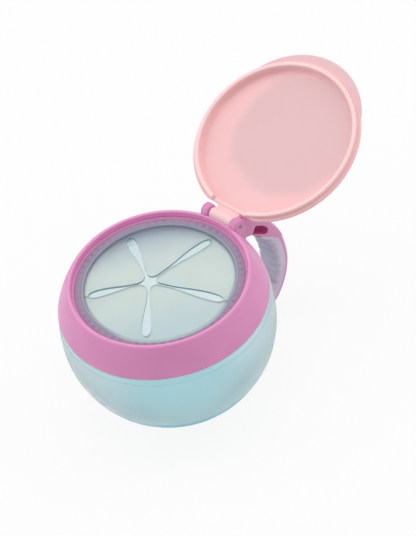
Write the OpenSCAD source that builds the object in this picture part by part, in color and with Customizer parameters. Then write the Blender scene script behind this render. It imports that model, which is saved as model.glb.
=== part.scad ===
// Toddler snack container: a round bowl, a screw-on collar with a handle, a
// soft flap insert with a star-shaped hand opening, and a hinged lid.
//
// Millimetres. +Z is up and the origin is the centre of the bowl's base. The
// hinge and the handle stand at +Y, and the lid's thumb tab is opposite them.
// The lid is drawn open, resting on its stop.

/* [Bowl] */
// Greatest outside diameter of the bowl
bowl_d = 100; // [96:1:110]
// Height of the greatest diameter
belly_z = 46; // [43:0.5:48]
// Height of the shoulder that the collar sits on
shoulder_z = 60.2; // [58:0.2:64]
// How far the shoulder's edge stands in from the greatest radius
shoulder_inset = 1; // [0.5:0.1:1.5]
// Wall thickness of the bowl
bowl_wall = 2; // [1.6:0.1:2.4]
// Height of the threaded neck above the shoulder
neck_h = 10.2; // [9.6:0.1:12]
// Diameter of the flat base
base_d = 48; // [42:1:50]
// Height of the sloping foot between the base and the belly
foot_h = 4.6; // [3.6:0.2:6]

/* [Thread] */
// Number of thread starts
thread_starts = 4; // [3:1:4]
// Rise of the collar in one full turn
thread_lead = 16; // [14:0.5:18]
// Arc that each ridge covers
thread_arc = 76; // [50:1:80]
// Height of a ridge above its wall
thread_depth = 0.8; // [0.7:0.05:0.9]
// Width of a ridge at its root
thread_w = 1.8; // [1.6:0.1:2]
// Width of a ridge at its crest
thread_crest = 0.8; // [0.6:0.1:1]
// Radial gap between a crest and the wall that it faces
thread_gap = 0.35; // [0.3:0.05:0.4]
// Gap between the flanks of the closed thread
flank_gap = 0.25; // [0.2:0.05:0.4]

/* [Collar] */
// Diameter of the mouth
mouth_d = 81; // [79:0.5:82]
// Width of the rounded rim around the mouth
rim_w = 2; // [1.8:0.1:2.4]
// Height of the rim's rounding
rim_h = 0.5; // [0.4:0.1:0.7]
// Outward bulge of the collar's sloping side
side_bulge = 0.6; // [0:0.1:1]
// Thickness of the collar's outer wall
collar_wall = 2; // [1.8:0.1:2.2]
// Thickness of the threaded skirt inside the collar
skirt_wall = 1.5; // [1.3:0.1:1.6]
// Depth of the groove between the skirt and the outer wall
groove_h = 5; // [3:0.5:6]
// Thickness of the lip over the flap insert
lip_h = 2.8; // [2.6:0.1:3.4]
// How far the lip reaches in over the flap insert
lip_overhang = 1.7; // [1.5:0.1:1.8]
// Gap between the collar's lower edge and the bowl's shoulder
collar_gap = 0.2; // [0.1:0.05:0.4]

/* [Flap insert] */
// Height of the space for the insert between neck and lip
insert_space = 1.8; // [1.6:0.1:2.4]
// Gap above and below the insert
insert_gap = 0.1; // [0.05:0.05:0.2]
// Radial gap around the insert
insert_play = 0.5; // [0.4:0.05:0.7]
// Inside diameter of the carrier ring
ring_in_d = 72; // [71:0.5:73]
// Thickness of the soft skin over the carrier ring
skin_t = 0.45; // [0.3:0.05:0.5]
// Width of the soft skin over the carrier ring
skin_w = 3.2; // [3:0.1:3.4]
// Number of lock holes under the skin
lock_count = 60; // [40:4:64]
// Diameter of a lock hole
lock_d = 1.6; // [1.2:0.1:1.8]
// Thickness of the soft disc
disc_t = 1; // [0.8:0.1:1.2]
// Rise of the soft disc at its centre
disc_rise = 1.6; // [0.8:0.1:2]

/* [Star opening] */
// Number of arms
star_arms = 5; // [5:1:6]
// Direction of the first arm
star_turn = 14; // [0:1:71]
// Distance from the disc's centre to the tips
star_reach = 32.8; // [28:0.2:33.4]
// Sideways place of the star's hub
hub_x = -2.8; // [-4:0.2:4]
// Fore-and-aft place of the star's hub
hub_y = -3.6; // [-4:0.2:4]
// Radius of the hub's opening
hub_r = 4; // [3.4:0.1:5]
// Width of an arm beside the hub
arm_neck_w = 1.2; // [1:0.1:2]
// Greatest width of an arm
arm_w = 4.4; // [3:0.1:4.6]

/* [Lid] */
// Angle that the lid is open
open_angle = 157.5; // [150:0.5:160]
// Radial gap between the plug ring and the mouth
plug_gap = 0.4; // [0.3:0.05:0.6]
// Wall thickness of the plug ring
plug_wall = 2.1; // [1.8:0.1:2.4]
// How far the plug ring reaches below the lid's flange
plug_h = 2.3; // [1.8:0.1:2.4]
// How far the lid's flange covers the rim
flange_over = 0.9; // [0.5:0.1:1.4]
// Thickness of the flange
flange_t = 1.8; // [1.5:0.1:2]
// Gap between the closed lid and the rim
lid_gap = 0.2; // [0.1:0.05:0.4]
// Rise of the lid's top above the flange, at its edge
top_step = 1.9; // [1.4:0.1:2.4]
// Further rise of the lid's top at its centre
top_rise = 1.5; // [0.5:0.1:2.5]
// Thickness of the lid's top
top_t = 1.6; // [1.4:0.1:1.8]
// How far the thumb tab reaches beyond the flange
tab_reach = 4.6; // [3:0.1:5]
// How much the thumb tab's arc is narrower in radius than the flange
tab_tighten = 5.4; // [5:0.1:7]

/* [Hinge] */
// Distance of the hinge line from the mouth's edge
hinge_out = 3.7; // [3.6:0.1:4.2]
// Depth of the hinge line below the rim
hinge_drop = 0.1; // [0:0.1:0.4]
// Diameter of the hinge pin
pin_d = 2; // [1.6:0.1:2.2]
// Radial gap between the pin and the collar's ears
pin_fit = 0.03; // [0.01:0.01:0.05]
// Radial gap between the pin and the lid's knuckle
knuckle_fit = 0.06; // [0.04:0.01:0.1]
// Width of the lid's knuckle and strap
knuckle_w = 12.9; // [11:0.1:14]
// Outside diameter of the lid's knuckle
knuckle_d = 5.4; // [5:0.1:5.6]
// Gap around the knuckle
knuckle_gap = 0.4; // [0.3:0.05:0.5]
// Thickness of the strap between knuckle and lid
strap_t = 2.2; // [1.9:0.1:2.3]
// Distance from the hinge line to the lid's straight edge
chord_out = 5.4; // [5.2:0.1:6]
// Thickness of an ear
ear_t = 4; // [3:0.1:5]
// Outside diameter of an ear
ear_d = 7.2; // [6.4:0.1:7.2]
// Depth of the pin's ends below the ears' faces
pin_recess = 0.3; // [0:0.1:0.6]
// Gap between the open lid's strap and its stop
stop_gap = 0.15; // [0.1:0.05:0.3]

/* [Handle] */
// Width of the handle
handle_w = 13; // [11:0.5:14]
// Thickness of the handle, spine and grip together
handle_t = 9; // [8:0.5:10]
// Rounding of the handle's long edges
handle_round = 3; // [2:0.5:3.5]
// Thickness of the handle's hard spine
spine_t = 3.3; // [2.6:0.1:4]
// Greatest distance from the bowl's axis to the spine's outside
handle_reach = 76.4; // [75:0.2:80]
// Height of the handle's widest point
handle_z = 28; // [27:0.5:29]
// Outside radius of the upper bend
upper_bend_r = 49.4; // [48:0.2:51]
// Outside radius of the lower bend
lower_bend_r = 29; // [28:0.5:31]
// Angle that the upper bend covers
upper_arc = 62; // [60:1:64]
// Angle that the lower bend covers
lower_arc = 60; // [54:1:60]
// Length of the strap slot
slot_l = 11.4; // [8:0.2:12]
// Height of the strap slot
slot_h = 4.4; // [3:0.1:4.6]
// Slope of the strap slot
slot_slope = 40; // [38:1:44]
// Wall between the strap slot and the grip
slot_wall = 1.4; // [1.2:0.1:2]
// Distance between the grip's grooves
groove_pitch = 5.7; // [5:0.1:6.5]
// Depth of the grip's grooves
groove_depth = 0.8; // [0.4:0.1:1]
// Radius of the grip's grooves
groove_r = 2.6; // [2.2:0.1:3]

/* [Hidden] */

$fn = 96;
eps = 0.01;
over = 1;          // how far a cutting shape runs past what it cuts

aqua = [0.66, 0.84, 0.86, 0.75];
purple_pink = [0.80, 0.47, 0.68];
soft_grey = [0.70, 0.76, 0.75, 0.85];
grip_lilac = [0.62, 0.59, 0.69];
pale_pink = [0.98, 0.79, 0.79, 0.85];
steel = [0.55, 0.56, 0.58];

// Heights, from the base up
neck_top_z = shoulder_z + neck_h;
collar_low_z = shoulder_z + collar_gap;
lip_low_z = neck_top_z + insert_space;
rim_z = lip_low_z + lip_h;
insert_low_z = neck_top_z + insert_gap;
skin_top_z = lip_low_z - insert_gap;
ring_top_z = skin_top_z - skin_t;

// Radii, from the mouth out
bowl_r = bowl_d / 2;
mouth_r = mouth_d / 2;
insert_r = mouth_r + lip_overhang;
bore_r = insert_r + insert_play;
neck_r = bore_r - thread_gap - thread_depth;
skirt_r = bore_r + skirt_wall;
shoulder_r = bowl_r - shoulder_inset;
rim_r = mouth_r + rim_w;
ring_in_r = ring_in_d / 2;

// ---- Bowl ----
// The belly is a sphere that stands on a short sloping foot, and the wall
// above it draws in along a parabola to the shoulder.
step_deg = 5;
inner_r = bowl_r - bowl_wall;
foot_angle = asin((belly_z - foot_h) / bowl_r);
floor_angle = asin((belly_z - bowl_wall) / inner_r);
base_round = 0.5;
shoulder_round = 0.8;

function belly_arc(r, low_angle) =
    [for (a = [-low_angle : (low_angle) / round(low_angle / step_deg) : 0.001])
        [r * cos(a), belly_z + r * sin(a)]];

function upper_wall(r, top_z, inset, n = 5) =
    [for (i = [1 : n])
        [r - inset * pow(i / n, 2), belly_z + (top_z - belly_z) * i / n]];

bowl_under_z = shoulder_z - bowl_wall - shoulder_round;
neck_in_r = neck_r - bowl_wall;

bowl_outside = concat(
    [[0, 0], [base_d / 2 - base_round, 0], [base_d / 2, base_round]],
    belly_arc(bowl_r, foot_angle),
    upper_wall(bowl_r, shoulder_z - shoulder_round, shoulder_inset),
    [[shoulder_r - shoulder_round, shoulder_z], [neck_r, shoulder_z],
     [neck_r, neck_top_z], [neck_in_r, neck_top_z]]);

bowl_inside = concat(
    [[0, bowl_wall]],
    belly_arc(inner_r, floor_angle),
    upper_wall(inner_r, bowl_under_z - bowl_wall, shoulder_inset),
    [[inner_r - shoulder_inset - bowl_wall, bowl_under_z], [neck_in_r, bowl_under_z + bowl_wall / 2]]);

function reversed(list) = [for (i = [len(list) - 1 : -1 : 0]) list[i]];

// ---- Thread ----
// One ridge: a trapezoid that climbs along a helix. side is 1 on the neck,
// where the crest points outwards, and -1 inside the collar.
ridge_root = 0.3;      // how deep a ridge is rooted in its wall
ridge_step = 4;        // degrees between the ridge's sections
neck_thread_z = neck_top_z - 3.9;
flank_reach = (thread_w + thread_crest) / 2 * (thread_depth - thread_gap) / thread_depth
            + thread_crest * thread_gap / thread_depth;
collar_thread_z = neck_thread_z - flank_reach - flank_gap;

module thread_ridge(wall_r, side, mid_z) {
    n = round(thread_arc / ridge_step);
    root_w = thread_crest + (thread_w - thread_crest) * (1 + ridge_root / thread_depth);
    section = [
        [wall_r - side * ridge_root, -root_w / 2],
        [wall_r + side * thread_depth, -thread_crest / 2],
        [wall_r + side * thread_depth, thread_crest / 2],
        [wall_r - side * ridge_root, root_w / 2]];
    m = len(section);
    points = [for (i = [0 : n], p = section)
        let (a = thread_arc * (i / n - 0.5))
            [p[0] * cos(a), p[0] * sin(a), mid_z + p[1] + thread_lead * a / 360]];
    sides = [for (i = [0 : n - 1], k = [0 : m - 1])
        [i * m + k, i * m + (k + 1) % m, (i + 1) * m + (k + 1) % m, (i + 1) * m + k]];
    ends = [[for (k = [m - 1 : -1 : 0]) k], [for (k = [0 : m - 1]) n * m + k]];
    faces = concat(sides, ends);
    polyhedron(points, side > 0 ? faces : [for (f = faces) reversed(f)]);
}

module thread(wall_r, side, mid_z) {
    for (i = [0 : thread_starts - 1])
        rotate(i * 360 / thread_starts)
            thread_ridge(wall_r, side, mid_z);
}

module bowl() {
    color(aqua) {
        rotate_extrude()
            polygon(concat(bowl_outside, reversed(bowl_inside)));
        thread(neck_r, 1, neck_thread_z);
    }
}

// ---- Flap insert ----
lock_r = ring_in_r + skin_w / 2;
skin_out_r = ring_in_r + skin_w;
bead_out_r = mouth_r - plug_gap;
bead_w = 0.7;
collar_lap = 0.9;      // how far the disc's thick edge reaches inside the ring

module flap_ring() {
    color(purple_pink)
        difference() {
            rotate_extrude()
                polygon([[ring_in_r, insert_low_z], [insert_r, insert_low_z],
                         [insert_r, skin_top_z - skin_t], [bead_out_r, skin_top_z - skin_t],
                         [bead_out_r - bead_w / 3, skin_top_z], [bead_out_r - bead_w * 2 / 3, skin_top_z],
                         [bead_out_r - bead_w, ring_top_z], [ring_in_r, ring_top_z]]);
            for (i = [0 : lock_count - 1])
                rotate(i * 360 / lock_count)
                    translate([lock_r, 0, insert_low_z - over])
                        cylinder(d = lock_d, h = ring_top_z - insert_low_z + 2 * over, $fn = 24);
        }
}

// The disc's surface, a shallow dome: its height at radius r above its edge
disc_r = ring_in_r - collar_lap;
disc_edge_z = skin_top_z - 0.7;
skin_fit = 0.05;       // gap between the disc's edge and the ring's bore

function dome(r) = disc_rise * (1 - pow(r / disc_r, 2));
function dome_points(base_z, out_r, n = 12) =
    [for (i = [0 : n]) let (r = out_r * i / n) [r, base_z + dome(r)]];

// Shares of an arm's length: where it starts to widen, where it has its full
// width, and where its round end begins
arm_swell = 0.25;
arm_full = 0.8;
arm_round = 0.86;

module star_arm(turn) {
    tip = [star_reach * cos(turn) - hub_x, star_reach * sin(turn) - hub_y];
    length = norm(tip);
    // Half the arm's width swells along its length, and the end is half an ellipse
    shape = concat(
        [for (i = [0 : 12])
            let (s = arm_round * i / 12,
                 swell = min(1, max(0, (s - arm_swell) / (arm_full - arm_swell))))
            [length * s, (arm_neck_w + (arm_w - arm_neck_w) * pow(sin(90 * swell), 2)) / 2]],
        [for (i = [1 : 8])
            let (a = 90 * i / 8)
            [length * (arm_round + (1 - arm_round) * sin(a)), arm_w / 2 * cos(a)]]);
    low_side = [for (i = [len(shape) - 2 : -1 : 0]) [shape[i][0], -shape[i][1]]];
    translate([hub_x, hub_y])
        rotate(atan2(tip[1], tip[0]))
            polygon(concat(shape, low_side));
}

module star() {
    translate([hub_x, hub_y])
        rotate(star_turn)
            circle(r = hub_r, $fn = 2 * star_arms);
    for (i = [0 : star_arms - 1])
        star_arm(star_turn + i * 360 / star_arms);
}

module flap_membrane() {
    color(soft_grey)
        difference() {
            rotate_extrude()
                polygon(concat(
                    dome_points(disc_edge_z - disc_t, disc_r - 0.5),
                    [[disc_r - 0.5, insert_low_z], [ring_in_r - skin_fit, insert_low_z],
                     [ring_in_r - skin_fit, ring_top_z], [skin_out_r, ring_top_z],
                     [skin_out_r, skin_top_z - skin_t / 2], [skin_out_r - 0.3, skin_top_z],
                     [disc_r + 0.3, skin_top_z], [disc_r, skin_top_z - 0.3]],
                    reversed(dome_points(disc_edge_z, disc_r))));
            translate([0, 0, insert_low_z - over])
                linear_extrude(disc_t + disc_rise + 2 * over + insert_space)
                    star();
        }
}

// ---- Handle ----
// Two arcs in the plane x = 0 that meet at the handle's widest point. A shape
// drawn in this plane has the distance from the axis as its x and the height
// as its y.
upper_centre = [handle_reach - upper_bend_r, handle_z];
lower_centre = [handle_reach - lower_bend_r, handle_z];
tip_centre = lower_centre + (lower_bend_r - handle_t / 2) * [cos(lower_arc), -sin(lower_arc)];
tip_swell = 0.2;       // how far the round end stands out beyond the bend
grip_low_arc = lower_arc - 6;

// Turns a shape drawn in the plane x = 0 into a slab across x, w wide
module across(w) {
    rotate([90, 0, 90])
        translate([0, 0, -w / 2])
            linear_extrude(w)
                children();
}

// The part of a circle about centre between the angles a_low and a_high, which
// are less than 180 degrees apart and measured up from the horizontal
module sector(centre, r, a_low, a_high) {
    wide = r / cos((a_high - a_low) / 2) + over;
    translate(centre)
        intersection() {
            circle(r = r, $fn = 128);
            polygon([[0, 0], wide * [cos(a_low), sin(a_low)], wide * [cos(a_high), sin(a_high)]]);
        }
}

module bend_outline(centre, out_r, a_low, a_high, inset) {
    difference() {
        sector(centre, out_r - inset, a_low, a_high);
        translate(centre)
            circle(r = out_r - handle_t + inset, $fn = 128);
    }
}

// The handle's outline in the plane x = 0: two bends and a rounded free end,
// with both edges drawn in by inset
module handle_outline(inset) {
    bend_outline(upper_centre, upper_bend_r, 0, upper_arc, inset);
    bend_outline(lower_centre, lower_bend_r, -lower_arc, 0, inset);
    translate(tip_centre)
        circle(r = handle_t / 2 + tip_swell - inset, $fn = 64);
}

// The handle's long edges are rounded in steps: the further a layer lies from
// the middle, the more its outline is drawn in
edge_steps = 3;
function layer_inset(k) = handle_round * (1 - cos(90 * k / edge_steps));
function layer_w(k) = handle_w - 2 * handle_round * (1 - sin(90 * (k + 1) / edge_steps));

// The strap slot's middle, on the root's centre line, and the line under the
// slot where the grip begins
slot_centre = upper_centre + (upper_bend_r - handle_t / 2 - 1) * [cos(slot_slope), sin(slot_slope)];
slot_dir = [cos(slot_slope), -sin(slot_slope)];
slot_down = [-sin(slot_slope), -cos(slot_slope)];
grip_line = slot_centre + (slot_h / 2 + slot_wall) * slot_down;

// The region of the handle, in the plane x = 0, that the soft grip fills
far = 2 * handle_reach;

module grip_region() {
    difference() {
        sector(upper_centre, upper_bend_r - spine_t, 0, slot_slope + 5);
        polygon([grip_line - far * slot_dir, grip_line + far * slot_dir,
                 grip_line + far * slot_dir - far * slot_down,
                 grip_line - far * slot_dir - far * slot_down]);
    }
    sector(lower_centre, lower_bend_r - spine_t, -grip_low_arc, 0);
}

module groove(centre, inner_r, angle) {
    translate(centre + (inner_r - groove_r + groove_depth) * [cos(angle), sin(angle)])
        circle(r = groove_r, $fn = 40);
}

// The grooves lie a pitch apart along the grip's middle on both bends
upper_step = groove_pitch / (upper_bend_r - handle_t / 2) * 180 / PI;
lower_step = groove_pitch / (lower_bend_r - handle_t / 2) * 180 / PI;

module grooves() {
    for (i = [0 : 3])
        groove(upper_centre, upper_bend_r - handle_t, upper_step * (i + 0.3));
    for (i = [1 : 3])
        groove(lower_centre, lower_bend_r - handle_t, -lower_step * (i - 0.3));
}

module handle_grip() {
    color(grip_lilac)
        for (k = [0 : edge_steps - 1])
            across(layer_w(k))
                difference() {
                    intersection() {
                        handle_outline(layer_inset(k));
                        grip_region();
                    }
                    grooves();
                }
}

module handle_spine() {
    for (k = [0 : edge_steps - 1])
        across(layer_w(k))
            difference() {
                handle_outline(layer_inset(k));
                grip_region();
            }
}

// ---- Hinge ----
hinge_y = mouth_r + hinge_out;
hinge_z = rim_z - hinge_drop;
hinge = [hinge_y, hinge_z];
knuckle_r = knuckle_d / 2;
ear_in_x = knuckle_w / 2 + knuckle_gap;
ear_out_x = ear_in_x + ear_t;
ear_r = ear_d / 2;
block_low_z = collar_low_z + 1;
pocket_r = knuckle_r + knuckle_gap;

// Directions of the open lid in the plane x = 0: along the strap from the
// hinge, and out of the lid's outer face
along = [-cos(open_angle), sin(open_angle)];
outward = [sin(open_angle), cos(open_angle)];
stop_line = knuckle_r + stop_gap;
stop_back = hinge + stop_line * outward + (chord_out - 0.1) * along;
stop_front = hinge + stop_line * outward + 0.8 * along;
block_back_y = stop_back[0] + 0.4;

module ear_outline() {
    translate(hinge)
        circle(r = ear_r, $fn = 64);
    polygon([[hinge_y - ear_r, hinge_z], [hinge_y - ear_r, block_low_z],
             [hinge_y + ear_r - 1.4, block_low_z], [hinge_y + ear_r, hinge_z]]);
}

module ears() {
    for (side = [-1, 1])
        translate([side * (ear_in_x + ear_out_x) / 2, 0, 0])
            across(ear_t)
                ear_outline();
}

// The block between the ears: its sloping top is the open lid's stop
module hinge_block() {
    across(2 * ear_in_x)
        polygon([[hinge_y - 1.5, block_low_z], [hinge_y - 1.5, hinge_z - pocket_r / 2],
                 stop_front, stop_back, [block_back_y, stop_back[1] - 0.6],
                 [block_back_y, hinge_z - 8], [hinge_y + 3, block_low_z]]);
}

// The web that joins the handle's root to the collar's lower edge
root_low = upper_centre + (upper_bend_r - handle_t) * [cos(45), sin(45)];

module root_web() {
    across(handle_w - handle_round / 2)
        polygon([[shoulder_r - 3, collar_low_z + 0.4], [shoulder_r, collar_low_z + 0.4],
                 root_low + [0, 0.1], root_low + [3, 2], [block_back_y - 0.5, hinge_z - 6],
                 [shoulder_r - 4, hinge_z - 6]]);
}

module strap_slot() {
    across(2 * handle_w)
        translate(slot_centre)
            rotate(-slot_slope) {
                translate([-slot_l / 2, -slot_h / 2])
                    square([slot_l - slot_h / 2, slot_h]);
                translate([slot_l / 2 - slot_h / 2, 0])
                    circle(d = slot_h, $fn = 32);
            }
}

module across_cylinder(r, w) {
    translate([-w / 2, hinge_y, hinge_z])
        rotate([0, 90, 0])
            cylinder(r = r, h = w, $fn = 48);
}

// ---- Collar ----
// The sloping side: a straight cone with a slight bulge
cone_top_z = rim_z - rim_h;
function cone_r(z) = let (u = (z - collar_low_z) / (cone_top_z - collar_low_z))
    shoulder_r + (rim_r - shoulder_r) * u + 4 * side_bulge * u * (1 - u);
function cone_points(n = 10) =
    [for (i = [0 : n]) let (z = collar_low_z + (cone_top_z - collar_low_z) * i / n) [cone_r(z), z]];

edge_soft = 0.3;       // softening of the mouth's inner edge
groove_top_z = collar_low_z + groove_h;

collar_section = concat(
    cone_points(),
    [[rim_r - rim_w * 0.3, rim_z - rim_h * 0.2], [rim_r - rim_w * 0.6, rim_z],
     [mouth_r + edge_soft, rim_z], [mouth_r, rim_z - edge_soft],
     [mouth_r, lip_low_z], [bore_r, lip_low_z],
     [bore_r, collar_low_z], [skirt_r, collar_low_z],
     [skirt_r, groove_top_z], [cone_r(groove_top_z) - collar_wall, groove_top_z],
     [shoulder_r - collar_wall, collar_low_z]]);

// The hinge block, ears and handle, kept out of the collar's bore
module hinge_and_handle() {
    difference() {
        union() {
            ears();
            hinge_block();
            root_web();
            handle_spine();
        }
        translate([0, 0, collar_low_z - over])
            cylinder(r = bore_r + skirt_wall / 2, h = lip_low_z + lip_h / 4 - collar_low_z + over);
    }
}

module collar() {
    color(purple_pink) {
        difference() {
            union() {
                rotate_extrude()
                    polygon(collar_section);
                hinge_and_handle();
            }
            strap_slot();
            across_cylinder(pin_d / 2 + pin_fit, 2 * ear_out_x + 2 * over);
            across_cylinder(pocket_r, 2 * ear_in_x);
        }
        thread(bore_r, -1, collar_thread_z);
    }
}

module hinge_pin() {
    color(steel)
        across_cylinder(pin_d / 2, 2 * (ear_out_x - pin_recess));
}

// ---- Lid ----
// Drawn closed, then turned open about the hinge
lid_low_z = rim_z + lid_gap;
flange_top_z = lid_low_z + flange_t;
plug_r = mouth_r - plug_gap;
plug_in_r = plug_r - plug_wall;
flange_r = mouth_r + flange_over;
top_edge_z = flange_top_z + top_step;
top_r = flange_r - 2.4;
chord_y = hinge_y - chord_out;

// The cap's upper surface at radius r
function top_z(r, drop) = top_edge_z + top_rise * (1 - pow(r / top_r, 2)) - drop;
function top_points(out_r, drop, n = 10) =
    [for (i = [0 : n]) let (r = out_r * i / n) [r, top_z(r, drop)]];

// A disc of the given radius, cut off short of the straight edge
module cut_disc(r) {
    difference() {
        circle(r = r, $fn = 128);
        translate([-r, chord_y])
            square([2 * r, r]);
    }
}

module lid_cap() {
    difference() {
        rotate_extrude()
            polygon(concat(
                top_points(top_r - 1.4, 0),
                [[top_r - 0.4, top_edge_z - 0.5], [top_r, top_edge_z - 1.2],
                 [flange_r - 0.8, flange_top_z], [flange_r, flange_top_z - 0.6],
                 [flange_r, lid_low_z + 0.3], [flange_r - 0.3, lid_low_z],
                 [plug_in_r, lid_low_z], [plug_in_r, top_edge_z - top_t - 1],
                 [plug_in_r - 1, top_edge_z - top_t]],
                reversed(top_points(plug_in_r - 2, top_t))));
        translate([-flange_r, chord_y, lid_low_z - over])
            cube([2 * flange_r, flange_r, top_rise + top_edge_z - lid_low_z + 2 * over]);
    }
    // Straight wall that closes the cap along its straight edge
    translate([0, 0, lid_low_z])
        linear_extrude(top_edge_z - top_t / 2 - lid_low_z)
            straight_wall();
}

module straight_wall() {
    difference() {
        cut_disc(plug_r);
        translate([-plug_r, -plug_r])
            square([2 * plug_r, plug_r + chord_y - plug_wall]);
    }
}

module plug_ring() {
    translate([0, 0, lid_low_z - plug_h])
        linear_extrude(plug_h + eps) {
            difference() {
                cut_disc(plug_r);
                circle(r = plug_in_r, $fn = 128);
            }
            straight_wall();
        }
}

module thumb_tab() {
    tab_r = flange_r - tab_tighten;
    translate([0, 0, lid_low_z + 0.1])
        linear_extrude(flange_t - 0.4)
            difference() {
                translate([0, -(flange_r + tab_reach - tab_r)])
                    circle(r = tab_r, $fn = 128);
                circle(r = plug_r, $fn = 128);
            }
}

// The strap runs from the knuckle to the lid's straight edge
module strap() {
    strap_top = hinge_z + knuckle_r;
    across(knuckle_w)
        polygon([[hinge_y, strap_top], [chord_y - plug_wall / 2, strap_top],
                 [chord_y - plug_wall / 2, strap_top - strap_t], [hinge_y, strap_top - strap_t]]);
    across_cylinder(knuckle_r, knuckle_w);
}

module lid_closed() {
    difference() {
        union() {
            lid_cap();
            plug_ring();
            thumb_tab();
            strap();
        }
        across_cylinder(pin_d / 2 + knuckle_fit, knuckle_w + 2 * over);
    }
}

module lid() {
    color(pale_pink)
        translate([0, hinge_y, hinge_z])
            rotate([-open_angle, 0, 0])
                translate([0, -hinge_y, -hinge_z])
                    lid_closed();
}

bowl();
flap_ring();
flap_membrane();
collar();
handle_grip();
hinge_pin();
lid();
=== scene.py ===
"""Looks of a toddler snack container: a tinted bowl, a screw-on collar with
its handle, a soft flap with a star-shaped hand opening, and a hinged lid.

Shapes are worked out in millimetres in the part's own frame (+Z up, origin at
the centre of the bowl's base, hinge and handle towards +Y) and are put into
the meshes in metres.
"""

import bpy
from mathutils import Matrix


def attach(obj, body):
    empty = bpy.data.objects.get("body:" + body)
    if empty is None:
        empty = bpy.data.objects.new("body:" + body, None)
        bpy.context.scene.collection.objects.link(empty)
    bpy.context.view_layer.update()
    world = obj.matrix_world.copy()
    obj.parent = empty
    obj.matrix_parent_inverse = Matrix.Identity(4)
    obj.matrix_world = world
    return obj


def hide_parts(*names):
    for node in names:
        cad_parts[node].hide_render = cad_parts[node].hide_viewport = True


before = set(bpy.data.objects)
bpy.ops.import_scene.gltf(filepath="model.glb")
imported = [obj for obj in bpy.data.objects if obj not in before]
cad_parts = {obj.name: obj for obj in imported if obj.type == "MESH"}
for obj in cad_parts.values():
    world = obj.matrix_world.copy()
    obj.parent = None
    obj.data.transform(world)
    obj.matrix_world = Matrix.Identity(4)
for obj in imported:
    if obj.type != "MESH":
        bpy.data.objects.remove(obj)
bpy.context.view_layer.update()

import math

import bmesh
import bpy
import numpy as np
from bpy.props import FloatProperty, FloatVectorProperty, IntProperty, PointerProperty
from mathutils import Matrix, Vector

bl_info = {
    "name": "Toddler Snack Container",
    "version": (1, 0, 0),
    "blender": (4, 5, 0),
    "location": "View3D > Sidebar > Snack Container",
    "description": "Builds the container's bowl, collar, handle, flap and lid with their finishes",
    "category": "Add Mesh",
}

MM = 0.001
FRONT = (0.79, -0.61, 0.0)   # plan direction from the axis to the side that the camera sees
LEFT = (-0.61, -0.79, 0.0)   # plan direction to the camera's left
HINGE = np.array([44.2, 74.9])  # distance of the hinge line from the axis, and its height
OPEN_ANGLE = math.radians(157.5)
NECK_R = 41.55               # outside of the bowl's neck, which its thread stands on
BORE_R = 42.7                # the collar's bore, which its thread stands in
THREAD_STARTS = 4
THREAD_LEAD = 16.0
SEAM_Z = 57.2                # height of the fine moulded line on the bowl's side
DISC_R = 35.1                # the soft disc's rim: radius, height and thickness
DISC_Z = 71.4
DISC_T = 1.0
LOCK_R = 37.6                # circle of the lock holes under the flap's skin


# ---- properties ------------------------


def length(name, description, default, low=0.0, high=200.0):
    """A size in millimetres that a user may change."""
    return FloatProperty(name=name, description=description, default=default,
                         min=low, max=high, precision=2, step=10)


def linear(red, green, blue):
    """Display values from 0 to 255 as linear light: the display curve undone."""
    c = np.array([red, green, blue], float) / 255
    return tuple(float(v) for v in np.where(c <= 0.04045, c / 12.92, ((c + 0.055) / 1.055) ** 2.4))


def colour(name, description, red, green, blue):
    """A colour that a user may change, given as display values from 0 to 255."""
    return FloatVectorProperty(name=name, description=description, subtype="COLOR", size=3,
                               min=0.0, max=1.0, default=linear(red, green, blue))


class BowlSettings(bpy.types.PropertyGroup):
    """Sizes and tint of the bowl."""

    radius: length("Belly radius", "Greatest outside radius of the bowl", 50.0, 40, 60)
    belly: length("Belly height", "Height of the greatest radius", 46.0, 40, 50)
    wall: length("Wall", "Thickness of the bowl's wall", 2.0, 1, 3)
    foot: length("Foot radius", "Radius of the flat base", 24.0, 18, 26)
    tint: colour("Tint", "Colour of the clear bowl", 228, 243, 246)
    # The deep tint is painted light: it is laid low down on the seen side for light running along
    # the wall, and along the moulded line as painted shade.
    deep: colour("Deep tint", "Colour where the plastic is thick, near the base", 94, 198, 224)


class FlapSettings(bpy.types.PropertyGroup):
    """Sizes and colours of the soft flap and its carrier ring."""

    rise: length("Rise", "Rise of the disc at its centre", 1.6, 0, 3)
    reach: length("Star reach", "Distance from the disc's centre to the star's tips", 32.8, 20, 34)
    arm: length("Arm width", "Greatest width of a star's arm", 4.4, 1, 6)
    locks: IntProperty(name="Lock holes", description="Number of lock holes under the skin",
                       default=60, min=12, max=90)
    disc: colour("Disc", "Colour of the soft disc", 234, 238, 232)
    ring: colour("Ring", "Colour of the carrier ring", 168, 138, 164)


class CollarSettings(bpy.types.PropertyGroup):
    """Sizes and colours of the collar, its hinge and its handle."""

    mouth: length("Mouth radius", "Radius of the mouth", 40.5, 35, 45)
    bulge: length("Bulge", "Outward bulge of the sloping side", 0.6, 0, 2)
    ear: length("Ear radius", "Radius of the hinge's ears", 3.6, 2, 5)
    plastic: colour("Plastic", "Colour of the collar and handle", 221, 142, 190)
    grip: colour("Grip", "Colour of the soft grip", 215, 201, 222)


class LidSettings(bpy.types.PropertyGroup):
    """Sizes and colours of the lid."""

    radius: length("Radius", "Radius of the lid's flange", 41.4, 30, 50)
    tab: length("Tab reach", "Distance of the thumb tab's edge from the lid's centre", 46.0, 42, 50)
    plastic: colour("Plastic", "Colour of the lid", 247, 198, 200)
    panel: colour("Panel", "Colour of the plain panel printed on the lid's outside", 214, 184, 189)


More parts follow.
